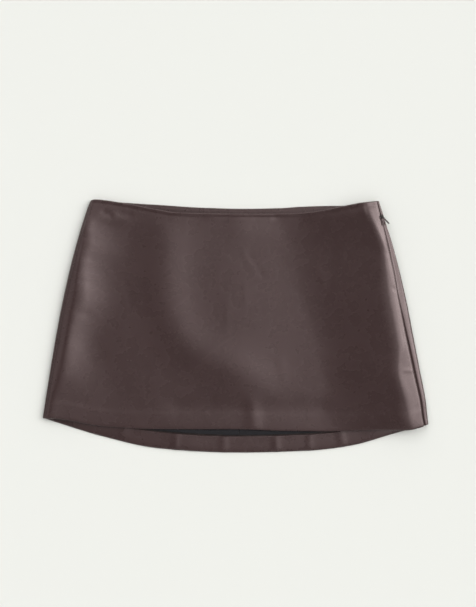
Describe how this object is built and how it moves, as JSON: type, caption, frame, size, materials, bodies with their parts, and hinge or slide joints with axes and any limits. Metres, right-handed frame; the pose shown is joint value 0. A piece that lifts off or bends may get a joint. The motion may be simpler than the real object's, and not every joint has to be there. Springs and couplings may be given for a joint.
{
  "type": "faux leather skort",
  "caption": "A-line mini skort in brown faux leather laid flat, with a side zip, a dipped waist and the longer back hem showing below the front over dark inner shorts.",
  "frame": {"origin": "on the surface the garment lies on, below the middle of its outline", "axes": "+X runs across the garment towards the side with the zip, +Y runs up from the hem to the waist, +Z points up from the surface through the front panel"},
  "size_m": [0.5249, 0.3451, 0.0193],
  "materials": {
    "faux_leather": "smooth coated cloth with a fine grain and a soft satin sheen",
    "jersey": "matt stretch jersey, near black",
    "zip_tape": "woven polyester tape with a moulded coil",
    "painted_zinc": "semi-gloss paint to match the cloth"
  },
  "bodies": {
    "garment": {"front_panel": "faux_leather", "back_panel_left": "faux_leather", "back_panel_right": "faux_leather", "back_facing_left": "faux_leather", "back_facing_right": "faux_leather", "shorts_left": "jersey", "shorts_right": "jersey", "zip_tape_front": "zip_tape", "zip_tape_back": "zip_tape", "zip_slider": "painted_zinc"},
    "pull": {"zip_pull": "painted_zinc"}
  },
  "joints": [
    {"name": "pull_hinge", "type": "hinge", "parent": "garment", "child": "pull", "pos_m": [0.19801, 0.14893, 0.01389], "axis": [-0.5131, -0.1329, 0.848], "range_deg": [-20, 125]}
  ]
}
